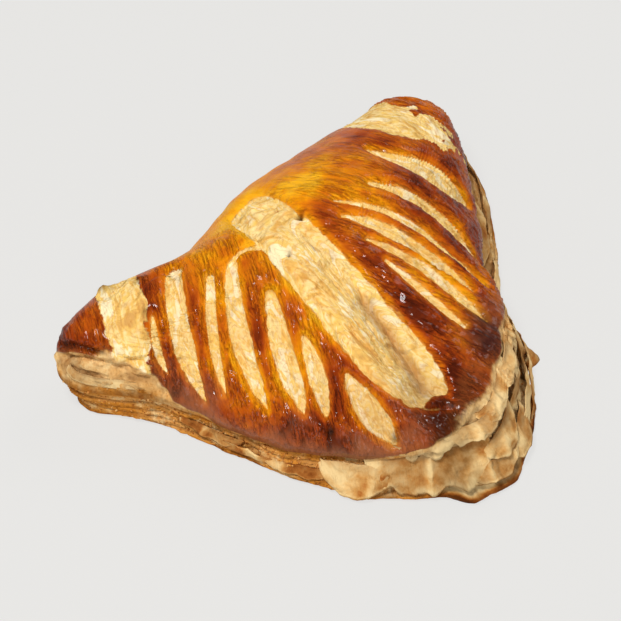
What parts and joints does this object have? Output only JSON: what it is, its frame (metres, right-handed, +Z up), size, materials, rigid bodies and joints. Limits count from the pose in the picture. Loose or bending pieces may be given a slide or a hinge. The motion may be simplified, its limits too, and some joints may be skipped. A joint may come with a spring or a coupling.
{
  "type": "turnover pastry",
  "caption": "Triangular puff-pastry turnover with a smooth folded side, two layered cut sides and a scored, domed, egg-washed top",
  "frame": {"origin": "under the middle of the bounding box, on the surface it rests on", "axes": "+X along the folded side, from the left corner to the right one; +Y square to the folded side, outward, so the point where the two cut sides meet is on -Y; +Z up"},
  "size_m": [0.1434, 0.1142, 0.045],
  "materials": {
    "baked_dough": "baked puff pastry, egg-washed and browned on top, pale and matte in the openings and on the layered sides"
  },
  "bodies": {
    "root": {"turnover": "baked_dough"}
  },
  "joints": []
}
